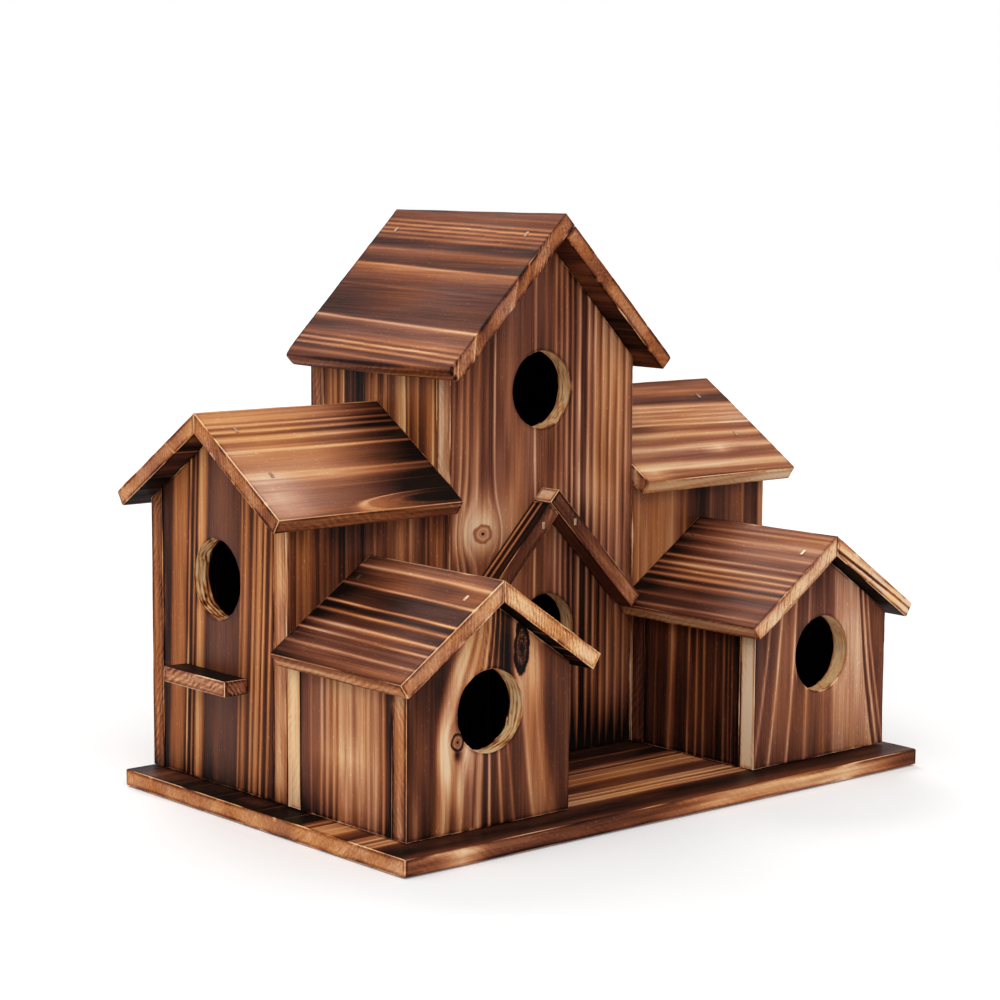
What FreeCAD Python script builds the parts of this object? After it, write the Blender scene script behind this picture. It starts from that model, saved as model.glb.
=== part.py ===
import FreeCAD, Part
import math
import os

# A birdhouse with six rooms, nailed together from thin charred boards: a tall tower with two
# rooms, one above the other, a long room on each side of it, and two small houses in front of
# those. Between the small houses a yard leads to the tower's lower hole, under a porch of two
# short boards.
#
# Millimetres. +X runs along the base board to the right, +Y to the back and +Z up. The origin
# is the middle of the base board's underside.

Vector = FreeCAD.Vector

# Base board
base_length = 200.0
base_depth = 130.0
base_thickness = 5.2
base_corner_round = 2.5
base_edge_round = 0.8

# Board stock: walls, and the thinner boards of the roofs, the porch and the tower's inner floor
wall = 6.0
roof_board = 5.2
eave_round = 1.0

# Plan: the rooms stand a little to the right of the base's middle and close to its back edge
left_margin = 9.1
right_margin = 3.1
back_margin = 0.9
front_margin = 10.9
tower_width = 72.4
room_depth = 66.2

# Roofs of the small houses in front, mitred at their ridges
house_ridge_height = 72.7
house_roof_angle = 34.2
house_eave_overhang = 6.3
house_front_overhang = 5.3

# Roofs of the long side rooms, mitred at their ridges. Their eaves clear the small houses' ridges.
wing_eave_clearance = 8.8
wing_roof_angle = 33.0
wing_eave_overhang = 6.9
wing_end_overhang = 7.3

# Tower roof, square-lapped at its ridge. Its eaves clear the long side rooms' ridges.
tower_eave_clearance = 7.6
tower_roof_angle = 45.0
tower_eave_overhang = 7.6
tower_front_overhang = 8.6
tower_back_overhang = 3.4

# Entry holes: their centres stand above the underside of the base
hole_diameter = 22.0
wing_hole_height = 64.3
house_hole_height = 36.7
tower_hole_height = 115.3
tower_hole_shift = -1.0
porch_hole_height = 43.3
porch_hole_shift = 1.0

# Floor between the tower's two rooms: the height of its underside
tower_floor_height = 90.0

# Perch block under the hole of each long side room
perch_length = 30.0
perch_height = 4.8
perch_reach = 8.0
perch_top_height = 38.4

# Porch: two short boards on the tower's front, their feet just over the small houses' eaves
porch_rise = 14.1
porch_shift = -1.0
porch_roof_angle = 46.0
porch_reach = 7.9
porch_foot_gap = 0.6

# Brads: nails cut from flat wire, with a T head and a chisel point, driven flush
brad_width = 1.2
brad_wire = 1.0
brad_head_width = 2.0
brad_head_thickness = 0.5
brad_point = 1.5
brad_length = 14.0
brad_clearance = 0.05
brad_from_ridge = 9.0
brad_spacing = 20.0
brad_stagger = 1.3
porch_brad_cover = 1.5
porch_brad_from_apex = 11.7



def eave_drop(half_span, angle):
    """How far the lowest line of a roof board's eave lies under the ridge."""
    slope = math.radians(angle)
    return half_span * math.tan(slope) + roof_board * math.cos(slope)


# Places that several pieces share
side_room_length = (base_length - left_margin - right_margin - tower_width) / 2
rooms_middle = (left_margin - right_margin) / 2
tower_left = rooms_middle - tower_width / 2
tower_right = rooms_middle + tower_width / 2
room_back = base_depth / 2 - back_margin
room_front = room_back - room_depth
room_middle = (room_front + room_back) / 2
house_front = -base_depth / 2 + front_margin
wing_half_span = room_depth / 2 + wing_eave_overhang
wing_eave_height = house_ridge_height + wing_eave_clearance
wing_ridge_height = wing_eave_height + eave_drop(wing_half_span, wing_roof_angle)
tower_half_span = tower_width / 2 + tower_eave_overhang
tower_eave_height = wing_ridge_height + tower_eave_clearance
tower_ridge_height = tower_eave_height + eave_drop(tower_half_span, tower_roof_angle)
porch_apex_height = house_ridge_height + porch_rise
LEFT = -1
RIGHT = 1
TO_BACK = Vector(0, 1, 0)
TO_RIGHT = Vector(1, 0, 0)


class GableRoof:
    """Two sloping boards of one thickness over a level ridge that runs along X or Y."""

    def __init__(self, ridge_along, ridge_at, ridge_height, angle, half_span, start, end, lap=0):
        # ridge_at is the ridge's place across its own run, and half_span is level, from the
        # ridge to an eave. lap is the side whose board laps over the other; 0 is a mitre.
        self.ridge_along = ridge_along
        self.ridge_at = ridge_at
        self.ridge_height = ridge_height
        self.angle = math.radians(angle)
        self.slope_length = half_span / math.cos(self.angle)
        self.start = start
        self.end = end
        self.lap = lap
        self.run = TO_RIGHT if ridge_along == "x" else TO_BACK

    def place(self, across, height, along):
        if self.ridge_along == "x":
            return Vector(along, across, height)
        return Vector(across, along, height)

    def slope_point(self, side, down, depth):
        """A point down the slope from the ridge, at a depth under the board's upper face."""
        across = down * math.cos(self.angle) - depth * math.sin(self.angle)
        drop = down * math.sin(self.angle) + depth * math.cos(self.angle)
        return (self.ridge_at + side * across, self.ridge_height - drop)

    def board_outline(self, side):
        eave_top = self.slope_point(side, self.slope_length, 0)
        eave_bottom = self.slope_point(side, self.slope_length, roof_board)
        apex = self.slope_point(side, 0, 0)
        inner_apex = self.slope_point(side, roof_board * math.tan(self.angle), roof_board)
        lap_down = roof_board / math.sin(2 * self.angle)
        if side == self.lap:
            return [apex, eave_top, eave_bottom, self.slope_point(-side, lap_down, 0)]
        if self.lap:
            return [self.slope_point(side, lap_down, 0), eave_top, eave_bottom, inner_apex]
        return [apex, eave_top, eave_bottom, inner_apex]

    def prism(self, outline, start, end):
        points = [self.place(across, height, start) for across, height in outline]
        face = Part.Face(Part.makePolygon(points + points[:1]))
        return face.extrude(self.place(0, 0, end) - self.place(0, 0, start))

    def board(self, side, free_ends):
        """One roof board, with its eave rounded along the top and at its free corners."""
        board = self.prism(self.board_outline(side), self.start, self.end)
        top = self.slope_point(side, self.slope_length, 0)
        bottom = self.slope_point(side, self.slope_length, roof_board)
        edges = [edge_between(board, self.place(*top, self.start), self.place(*top, self.end))]
        for end in free_ends:
            edges.append(edge_between(board, self.place(*top, end), self.place(*bottom, end)))
        return board.makeFillet(eave_round, edges)

    def room_below(self):
        """All the space under the boards, which trims the walls to the slopes."""
        reach = self.slope_length + roof_board
        left = self.slope_point(LEFT, reach, roof_board)
        right = self.slope_point(RIGHT, reach, roof_board)
        inner_apex = self.slope_point(LEFT, roof_board * math.tan(self.angle), roof_board)
        outline = [left, inner_apex, right, (right[0], 0), (left[0], 0)]
        low, high = sorted((self.start, self.end))
        return self.prism(outline, low - wall, high + wall)

    def brad_place(self, side, down, along):
        """Where a brad enters the slope, and the direction that it is driven in."""
        head = self.place(*self.slope_point(side, down, 0), along)
        inside = self.place(*self.slope_point(side, down, roof_board), along)
        return head, (inside - head).normalize()


def edge_between(solid, first, second):
    """The edge of a solid that joins two corners."""
    for edge in solid.Edges:
        ends = [vertex.Point for vertex in edge.Vertexes]
        for start, end in (ends, ends[::-1]):
            if start.distanceToPoint(first) < 1e-4 and end.distanceToPoint(second) < 1e-4:
                return edge


def box(x_ends, y_ends, z_ends):
    x0, x1 = sorted(x_ends)
    y0, y1 = sorted(y_ends)
    z0, z1 = sorted(z_ends)
    return Part.makeBox(x1 - x0, y1 - y0, z1 - z0, Vector(x0, y0, z0))


def wall_under(roof, x_ends, y_ends):
    """A wall board that stands on the base and is trimmed to the underside of its roof."""
    board = box(x_ends, y_ends, (base_thickness, roof.ridge_height))
    return board.common(roof.room_below())


def entry_hole(centre, inward):
    """A round hole drilled square through a wall, from a point on its outer face."""
    return Part.makeCylinder(hole_diameter / 2, 3 * wall, centre - inward * wall, inward)


def brad_solid(head, direction, flat, length, clearance=0.0):
    """A T-headed nail of flat wire, or with a clearance the hole that it fills.

    direction is the way that it is driven, and flat is square to the wire's flat side.
    """
    half_head = brad_head_width / 2 + clearance
    half_shank = brad_width / 2 + clearance
    under_head = brad_head_thickness + clearance
    shoulder = length + clearance - brad_point
    across = flat.cross(direction)
    outline = [
        (-half_head, 0), (half_head, 0), (half_head, under_head), (half_shank, under_head),
        (half_shank, shoulder), (0, length + clearance), (-half_shank, shoulder),
        (-half_shank, under_head), (-half_head, under_head),
    ]
    thickness = brad_wire + 2 * clearance
    corner = head - flat * (thickness / 2)
    points = [corner + across * side + direction * deep for side, deep in outline]
    return Part.Face(Part.makePolygon(points + points[:1])).extrude(flat * thickness)


def drive_brads(pieces, brads, names):
    """Cut each brad's hole in the boards that it holds, and add the brad as its own piece."""
    for brad_name, head, direction, flat, length in brads:
        hole = brad_solid(head, direction, flat, length, brad_clearance)
        for name in names[brad_name]:
            pieces[name] = pieces[name].cut(hole)
        pieces[brad_name] = brad_solid(head, direction, flat, length)


def build_base():
    board = box(
        (-base_length / 2, base_length / 2),
        (-base_depth / 2, base_depth / 2),
        (0, base_thickness),
    )
    upright = [edge for edge in board.Edges if abs(edge.tangentAt(0).z) > 0.5]
    board = board.makeFillet(base_corner_round, upright)
    top = max(board.Faces, key=lambda face: face.BoundBox.ZMin)
    return {"base_board": board.makeFillet(base_edge_round, top.Edges)}


def build_tower():
    roof = GableRoof(
        "y", rooms_middle, tower_ridge_height, tower_roof_angle, tower_half_span,
        room_front - tower_front_overhang, room_back + tower_back_overhang,
        lap=LEFT,
    )
    both_ends = (roof.start, roof.end)
    inner_front = room_front + wall
    inner_back = room_back - wall
    front_wall = wall_under(roof, (tower_left, tower_right), (room_front, inner_front))
    upper_hole = Vector(rooms_middle + tower_hole_shift, room_front, tower_hole_height)
    porch_hole = Vector(rooms_middle + porch_hole_shift, room_front, porch_hole_height)
    for centre in (upper_hole, porch_hole):
        front_wall = front_wall.cut(entry_hole(centre, TO_BACK))
    pieces = {
        "tower_front_wall": front_wall,
        "tower_back_wall": wall_under(roof, (tower_left, tower_right), (inner_back, room_back)),
        "tower_left_wall": wall_under(
            roof, (tower_left, tower_left + wall), (inner_front, inner_back)
        ),
        "tower_right_wall": wall_under(
            roof, (tower_right - wall, tower_right), (inner_front, inner_back)
        ),
        "tower_room_floor": box(
            (tower_left + wall, tower_right - wall),
            (inner_front, inner_back),
            (tower_floor_height, tower_floor_height + roof_board),
        ),
        "tower_roof_left": roof.board(LEFT, both_ends),
        "tower_roof_right": roof.board(RIGHT, both_ends),
    }
    nail_roof(pieces, roof, "tower", ("left", "right"), {
        "front": (room_front + wall / 2, "tower_front_wall"),
        "back": (room_back - wall / 2, "tower_back_wall"),
    })
    return pieces


def nail_roof(pieces, roof, room, side_names, gables):
    """One brad near the ridge through each slope into each gable, the pairs staggered."""
    brads = []
    held = {}
    for side, side_name in zip((LEFT, RIGHT), side_names):
        for end_name, (middle, gable) in gables.items():
            name = f"{room}_roof_{side_name}_brad_{end_name}"
            head, direction = roof.brad_place(side, brad_from_ridge, middle + side * brad_stagger)
            brads.append((name, head, direction, roof.run, brad_length))
            held[name] = (f"{room}_roof_{side_name}", gable)
    drive_brads(pieces, brads, held)


def build_wing(side, side_name):
    """The long room on one side of the tower, with its gable and perch at the far end."""
    inner_end = tower_left if side == LEFT else tower_right
    gable_face = inner_end + side * side_room_length
    roof_end = gable_face + side * wing_end_overhang
    roof = GableRoof(
        "x", room_middle, wing_ridge_height, wing_roof_angle,
        wing_half_span, inner_end, roof_end,
    )
    room = f"{side_name}_wing"
    gable = wall_under(
        roof, (gable_face, gable_face - side * wall), (room_front + wall, room_back - wall)
    )
    inward = Vector(-side, 0, 0)
    hole = entry_hole(Vector(gable_face, room_middle, wing_hole_height), inward)
    pieces = {
        f"{room}_gable": gable.cut(hole),
        f"{room}_front_wall": wall_under(
            roof, (gable_face, inner_end), (room_front, room_front + wall)
        ),
        f"{room}_back_wall": wall_under(
            roof, (gable_face, inner_end), (room_back - wall, room_back)
        ),
        f"{room}_perch": box(
            (gable_face, gable_face + side * perch_reach),
            (room_middle - perch_length / 2, room_middle + perch_length / 2),
            (perch_top_height - perch_height, perch_top_height),
        ),
        f"{room}_roof_front": roof.board(LEFT, (roof_end,)),
        f"{room}_roof_back": roof.board(RIGHT, (roof_end,)),
    }
    brads = []
    held = {}
    for slope, slope_name in ((LEFT, "front"), (RIGHT, "back")):
        for step, step_name in enumerate(("upper", "lower")):
            name = f"{room}_roof_{slope_name}_brad_{step_name}"
            down = brad_from_ridge + step * brad_spacing
            along = gable_face - side * wall / 2 + slope * brad_stagger
            head, direction = roof.brad_place(slope, down, along)
            brads.append((name, head, direction, roof.run, brad_length))
            held[name] = (f"{room}_roof_{slope_name}", f"{room}_gable")
    drive_brads(pieces, brads, held)
    return pieces


def small_house_roof(side):
    tower_side = tower_left if side == LEFT else tower_right
    return GableRoof(
        "y", tower_side + side * side_room_length / 2, house_ridge_height, house_roof_angle,
        side_room_length / 2 + house_eave_overhang,
        house_front - house_front_overhang, room_front,
    )


def build_small_house(side, side_name):
    """The low house in front of one long side room, its back against that room's wall."""
    roof = small_house_roof(side)
    left_face = roof.ridge_at - side_room_length / 2
    right_face = roof.ridge_at + side_room_length / 2
    inner_front = house_front + wall
    inner_back = room_front - wall
    room = f"{side_name}_house"
    gable = wall_under(roof, (left_face, right_face), (house_front, inner_front))
    hole = entry_hole(Vector(roof.ridge_at, house_front, house_hole_height), TO_BACK)
    pieces = {
        f"{room}_front_wall": gable.cut(hole),
        f"{room}_back_wall": wall_under(roof, (left_face, right_face), (inner_back, room_front)),
        f"{room}_left_wall": wall_under(
            roof, (left_face, left_face + wall), (inner_front, inner_back)
        ),
        f"{room}_right_wall": wall_under(
            roof, (right_face - wall, right_face), (inner_front, inner_back)
        ),
        f"{room}_roof_left": roof.board(LEFT, (roof.start,)),
        f"{room}_roof_right": roof.board(RIGHT, (roof.start,)),
    }
    nail_roof(pieces, roof, room, ("left", "right"), {
        "front": (house_front + wall / 2, f"{room}_front_wall"),
        "back": (room_front - wall / 2, f"{room}_back_wall"),
    })
    return pieces


def porch_half_span(side):
    """Level run of a porch board that stops just short of the small house's eave."""
    house_roof = small_house_roof(side)
    eave_across, eave_height = house_roof.slope_point(-side, house_roof.slope_length, 0)
    angle = math.radians(porch_roof_angle)
    level = abs(eave_across - rooms_middle - porch_shift)
    drop = porch_apex_height - eave_height
    slope = level * math.cos(angle) + drop * math.sin(angle) - porch_foot_gap
    return slope * math.cos(angle)


def build_porch(tower_pieces):
    """Two boards on edge against the tower's front; the right one laps the left."""
    pieces = {}
    brads = []
    held = {}
    for side, side_name in ((LEFT, "left"), (RIGHT, "right")):
        roof = GableRoof(
            "y", rooms_middle + porch_shift, porch_apex_height, porch_roof_angle,
            porch_half_span(side), room_front - porch_reach, room_front,
            lap=RIGHT,
        )
        board_name = f"porch_roof_{side_name}"
        pieces[board_name] = roof.prism(roof.board_outline(side), roof.start, roof.end)
        middle = roof.slope_point(side, porch_brad_from_apex, roof_board / 2)
        length = porch_reach + wall - porch_brad_cover
        name = f"{board_name}_brad"
        brads.append((name, roof.place(*middle, roof.start), TO_BACK, TO_RIGHT, length))
        held[name] = (board_name, "tower_front_wall")
    pieces["tower_front_wall"] = tower_pieces["tower_front_wall"]
    drive_brads(pieces, brads, held)
    return pieces


def build_birdhouse():
    pieces = build_base()
    pieces.update(build_tower())
    pieces.update(build_porch(pieces))
    for side, side_name in ((LEFT, "left"), (RIGHT, "right")):
        pieces.update(build_wing(side, side_name))
        pieces.update(build_small_house(side, side_name))
    return pieces


os.makedirs("parts", exist_ok=True)
for name, shape in build_birdhouse().items():
    shape.removeSplitter().Solids[0].exportStep(f"parts/{name}.step")
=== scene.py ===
import math
import zlib
from dataclasses import dataclass, field

import bpy
import numpy as np
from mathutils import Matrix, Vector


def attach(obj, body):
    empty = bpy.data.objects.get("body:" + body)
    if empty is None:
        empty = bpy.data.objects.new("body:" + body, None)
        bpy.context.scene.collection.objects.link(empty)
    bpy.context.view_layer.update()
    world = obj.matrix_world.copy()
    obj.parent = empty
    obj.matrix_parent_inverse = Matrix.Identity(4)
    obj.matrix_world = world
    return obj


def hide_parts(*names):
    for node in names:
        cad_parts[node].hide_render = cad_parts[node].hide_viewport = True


# The looks of the charred wooden birdhouse. Each board of the CAD model gets a mesh of its own:
# the same solid, with worn edges and with its growth rings standing slightly proud of the
# softer wood, as they do after charring and brushing. The mesh also carries the ring pattern
# to the material, so the stripes on a face and the arcs on its end grain belong together.
#
# Lengths are millimetres until a mesh is made. A board's own axes are: along the grain, across
# the board, and out of its face.

MM = 0.001
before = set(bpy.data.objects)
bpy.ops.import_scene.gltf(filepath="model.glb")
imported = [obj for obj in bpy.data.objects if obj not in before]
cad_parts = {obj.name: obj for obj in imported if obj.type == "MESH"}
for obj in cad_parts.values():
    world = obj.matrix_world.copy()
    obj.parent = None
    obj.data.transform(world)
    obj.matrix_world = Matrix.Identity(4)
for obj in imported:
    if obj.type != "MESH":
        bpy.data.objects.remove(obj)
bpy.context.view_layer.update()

X = np.array((1.0, 0.0, 0.0))
Y = np.array((0.0, 1.0, 0.0))
Z = np.array((0.0, 0.0, 1.0))

# Spacing of a mesh along the grain (row), across it (column) and through the board (level)
ROW, COLUMN, LEVEL = 4.5, 0.5, 0.75
KNOTTY = (1.0, 0.42)  # row and column of a board with knots
BORE_LEVEL = 0.35  # level of a board with holes
SPLIT_LEVEL = 0.22  # level of a board with a split end
NEAR_EDGE = (0.0, 0.15, 0.35, 0.6, 0.95, 1.4)  # distances of the first points from an edge
KEY_GAP = 0.1  # least distance of a column from an edge, an apex or the side of a hole
COLUMN_GAP = 0.17  # least distance between other columns
BORE_STEPS = 65  # columns across a hole, with the crowded ones that are left out
TINY = 0.001  # what counts as nothing, in mm and in directions

# Telling the flat faces of a CAD solid from its rounded edges
SLIVER = 0.05  # smaller triangles are left out, in square mm
PARALLEL = 0.9999  # least cosine between the normals of triangles in one face
SAME_PLANE = 0.02  # greatest distance between the planes of one face
NARROWEST = 1.8  # narrower faces are part of a rounded edge

# Wear and relief
EDGE_WEAR = 0.35  # middle radius of the worn edges
RELIEF = 0.11  # depth of the soft wood below the growth rings
LINE_SPAN = 8.0  # mm for each whole ring number, close to a line
HOLE_RADIUS = 11.0
BASE_TOP = 5.2  # height of the base board's upper face
PAST_EDGE = 14  # how far a board's own bands reach past its edges
BEYOND = 400  # farther than any place across a board

# Smooth noise from a seeded lattice

CELLS = 32
LATTICE = np.random.default_rng(7).random((CELLS, CELLS, CELLS))


def noise(points, scale, seed):
    """Smooth noise from 0 to 1. scale is the size of its blobs along each axis."""
    shift = np.array((seed * 0.731, seed * 1.377, seed * 0.519)) % CELLS
    place = points / np.asarray(scale) + shift
    cell = np.floor(place).astype(int)
    share = place - cell
    share = share * share * (3 - 2 * share)
    total = np.zeros(len(points))
    for dx in (0, 1):
        for dy in (0, 1):
            for dz in (0, 1):
                near_x, near_y, near_z = abs(1 - np.array((dx, dy, dz)) - share).T
                weight = near_x * near_y * near_z
                corner = (cell + (dx, dy, dz)) % CELLS
                total += weight * LATTICE[corner[:, 0], corner[:, 1], corner[:, 2]]
    return total


def uneven(points, scale, seed, amount):
    """Smooth noise round 0, from -amount / 2 to amount / 2."""
    return amount * (noise(points, scale, seed) - 0.5)


def smoothstep(low, high, value):
    """0 up to low, rising smoothly to 1 at high."""
    share = np.clip((value - low) / (high - low), 0, 1)
    return share * share * (3 - 2 * share)


def bell(distance, reach):
    """1 at no distance, falling smoothly to 0 over about twice the reach."""
    return np.exp(-((distance / reach) ** 2))


def spots(points, places):
    """The sum of soft spots: (along, across, reach along, reach across, height)."""
    total = np.zeros(len(points))
    for along, across, reach_along, reach_across, height in places:
        total += (height * bell(points[:, 0] - along, reach_along)
                  * bell(points[:, 1] - across, reach_across))
    return total


# The shape of a board

def outer_planes(node):
    """The flat outer faces of a CAD node, largest first, as (outward normal, distance, area),
    and the node's points."""
    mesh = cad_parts[node].data
    mesh.calc_loop_triangles()
    points = np.array([vertex.co for vertex in mesh.vertices]) / MM
    corners = points[np.array([triangle.vertices for triangle in mesh.loop_triangles])]
    normals = np.cross(corners[:, 1] - corners[:, 0], corners[:, 2] - corners[:, 0])
    areas = np.linalg.norm(normals, axis=1) / 2
    groups = []
    for index in np.argsort(-areas):
        if areas[index] < SLIVER:
            break
        normal = normals[index] / (2 * areas[index])
        distance = normal @ corners[index, 0]
        for group in groups:
            apart = abs(distance - group["distance"])
            if normal @ group["normal"] > PARALLEL and apart < SAME_PLANE:
                group["area"] += areas[index]
                group["corners"].append(corners[index])
                break
        else:
            groups.append({"normal": normal, "distance": distance, "area": areas[index],
                           "corners": [corners[index]]})
    planes = []
    for group in groups:
        reach = np.ptp(np.concatenate(group["corners"]), axis=0)
        outermost = (points @ group["normal"]).max() < group["distance"] + SAME_PLANE
        if outermost and group["area"] / np.linalg.norm(reach) > NARROWEST:
            planes.append((group["normal"], group["distance"], group["area"]))
    return sorted(planes, key=lambda plane: -plane[2]), points


def spread(length, step):
    """Places along a line, as shares of its length and offsets in mm: close together near the
    two ends, and about a step apart between them."""
    near = np.array([d for d in NEAR_EDGE if d < 0.45 * length])
    count = max(1, round((length - 2 * near[-1]) / step))
    middle = np.linspace(0, 1, count + 1)[1:-1]
    shares = np.concatenate((0 * near, middle, 0 * near + 1))
    offsets = np.concatenate((near, near[-1] * (1 - 2 * middle), -near[::-1]))
    return shares, offsets


def forward(direction):
    """The direction or its opposite: the one that runs down, or to the right or the back."""
    if abs(direction[2]) > 0.1:
        return direction * -np.sign(direction[2])
    return direction * np.sign(direction.sum())


class Board:
    """One board: its own axes, its flat faces, and a mesh of quads over all of them.

    Places on it are along the grain, across the board and out of its face. On a sloping board
    the axis that runs down starts from the ridge, and the others are the model's own.
    """

    def __init__(self, node, grain=None, faces=Z, holes=(), row=ROW, column=COLUMN,
                 level=LEVEL):
        """grain is the way of the grain; without it, it runs down the board's slope. faces is
        roughly the way that its face looks. row, column and level are mesh spacings."""
        planes, points = outer_planes(node)
        self.name = node
        out = max(planes[:2], key=lambda plane: plane[0] @ faces)[0]
        if grain is None:
            grain = forward(np.cross(Y, out))
        self.axes = np.array((grain, forward(np.cross(out, grain)), out))
        local = points @ self.axes.T
        sloping = (abs(self.axes[:, 2]) > 0.1) & (abs(self.axes[:, 2]) < 0.95)
        self.origin = local.min(axis=0) * sloping * (1, 1, 0)
        self.low = local.min(axis=0) - self.origin
        self.high = local.max(axis=0) - self.origin
        self.normals = np.array([self.axes @ plane[0] for plane in planes])
        self.distances = np.array([plane[1] for plane in planes]) - self.normals @ self.origin
        self.holes = sorted(holes)
        self.row = row
        self.column = column
        self.level = BORE_LEVEL if self.holes else level

    def limits(self, axis, points):
        """The board's lowest and highest value along one of its axes, through each point."""
        other = self.normals.copy()
        other[:, axis] = 0
        room = self.distances - points @ other.T
        slope = self.normals[:, axis]
        ends = []
        for sign, pick in ((-1, np.max), (1, np.min)):
            faces = slope * sign > TINY
            if axis == 1:  # a gable's slopes bound it along the grain only
                faces &= abs(self.normals[:, 0]) < TINY
            ends.append(pick(room[:, faces] / slope[faces], axis=1))
        return ends

    def column_places(self):
        """Places across the board: dense at its edges, at a gable's apex and round the holes."""
        low, high = self.low[1], self.high[1]
        shares, offsets = spread(high - low, self.column)
        places = list(low + shares * (high - low) + offsets)
        keys = [low, high]
        if sum(self.normals[:, 0] > 0.1) > 1:
            keys.append((low + high) / 2)
        for _, middle in self.holes:
            steps = np.radians(np.linspace(-90, 90, BORE_STEPS))
            inside = abs(np.array(places) - middle) < HOLE_RADIUS + NEAR_EDGE[-1]
            places = list(np.array(places)[~inside]) + list(middle + HOLE_RADIUS * np.sin(steps))
            for near in NEAR_EDGE:
                keys += [middle - HOLE_RADIUS - near, middle + HOLE_RADIUS + near]
        keys = sorted(set(np.round(keys, 4)))
        kept = [place for place in places if min(abs(np.array(keys) - place)) > KEY_GAP]
        return np.array(sorted(keys + thinned(kept)))

    def surface(self):
        """Points and quads over the sharp solid."""
        columns = (self.column_places() - self.low[1]) / (self.high[1] - self.low[1])
        shares, offsets = spread(self.high[2] - self.low[2], self.level)
        levels = self.high[2] - shares * (self.high[2] - self.low[2]) - offsets

        def across_at(column, level):
            probe = np.stack([0 * level, 0 * level, level], axis=-1).reshape(-1, 3)
            low, high = self.limits(1, probe)
            return (low + column.ravel() * (high - low)).reshape(level.shape)

        column, level = np.meshgrid(columns, levels, indexing="ij")
        across = across_at(column, level)
        probe = np.stack([0 * level, across, level], axis=-1).reshape(-1, 3)
        ends = [end.reshape(level.shape) for end in self.limits(0, probe)]
        starts, stops = [ends[0]], []
        for centre, middle in self.holes:
            half = np.sqrt(np.maximum(HOLE_RADIUS**2 - (across - middle) ** 2, 0))
            half[half < 0.1] = 0
            stops.append(centre - half)
            starts.append(centre + half)
        stops.append(ends[1])

        every = slice(None)

        def grid(along, chosen=(every, every)):
            shape = along.shape
            return np.stack([along, np.broadcast_to(across[chosen], shape),
                             np.broadcast_to(level[chosen], shape)], axis=-1)

        patches = [grid(ends[0]), grid(ends[1])]
        for start, stop in zip(starts, stops):
            share, offset = spread(float(np.median(stop - start)), self.row)
            share, offset = share[:, None, None], offset[:, None, None]
            along = start * (1 - share) + stop * share + offset
            for chosen in ((every, 0), (every, -1), (0, every), (-1, every)):
                patches.append(grid(along[(every,) + chosen], chosen))
        for (centre, middle), stop, start in zip(self.holes, stops, starts[1:]):
            inside = abs(across[:, 0] - middle) <= HOLE_RADIUS + TINY
            for rim in (stop, start):
                patches.append(grid(rim[inside], (inside, every)))
        return weld(patches)

    def margin(self, points):
        """How far each point of the surface is from the nearest edge of its side."""
        inside = self.distances - points @ self.normals.T
        for centre, middle in self.holes:
            off = np.linalg.norm(points[:, :2] - (centre, middle), axis=1) - HOLE_RADIUS
            inside = np.column_stack((inside, off))
        return np.partition(np.maximum(inside, 0), 1, axis=1)[:, 1]

    def worn(self, points, wear):
        """The points moved in to the solid with rounded edges, the directions out of it there,
        and the share that each flat face has in each point. The last share is the bores'."""
        for _ in range(4):
            pull = np.maximum(points @ self.normals.T - self.distances + wear[:, None], 0)
            out = pull @ self.normals
            bore = np.zeros(len(points))
            for centre, middle in self.holes:
                radial = points[:, :2] - (centre, middle)
                distance = np.maximum(np.linalg.norm(radial, axis=1), 1e-6)
                share = np.maximum(HOLE_RADIUS - distance + wear, 0) * (distance > 1)
                out[:, :2] -= radial / distance[:, None] * share[:, None]
                bore = np.maximum(bore, share)
            length = np.sqrt((pull**2).sum(axis=1) + bore**2) + 1e-9
            gradient = out / length[:, None]
            steepness = (gradient**2).sum(axis=1)
            points = points - gradient * ((length - wear) / steepness)[:, None]
        shares = np.column_stack((pull, bore)) ** 2
        return points, gradient / np.sqrt(steepness)[:, None], shares / shares.sum(axis=1)[:, None]


def thinned(places):
    """The places in order, without those that crowd the one before."""
    kept = []
    for place in sorted(places):
        if not kept or place - kept[-1] > COLUMN_GAP:
            kept.append(place)
    return kept


def weld(patches):
    """Joins grids of points along their common edges into one set of points and faces."""
    points = np.concatenate([patch.reshape(-1, 3) for patch in patches])
    quads = []
    base = 0
    for patch in patches:
        rows, columns = patch.shape[:2]
        index = base + np.arange(rows * columns).reshape(rows, columns)
        quads.append(np.stack((index[:-1, :-1], index[1:, :-1], index[1:, 1:], index[:-1, 1:]),
                              axis=-1).reshape(-1, 4))
        base += rows * columns
    _, first, where = np.unique(np.round(points, 3), axis=0, return_index=True,
                                return_inverse=True)
    return points[first], where.reshape(-1)[np.concatenate(quads)]


# The wood of a board

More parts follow.
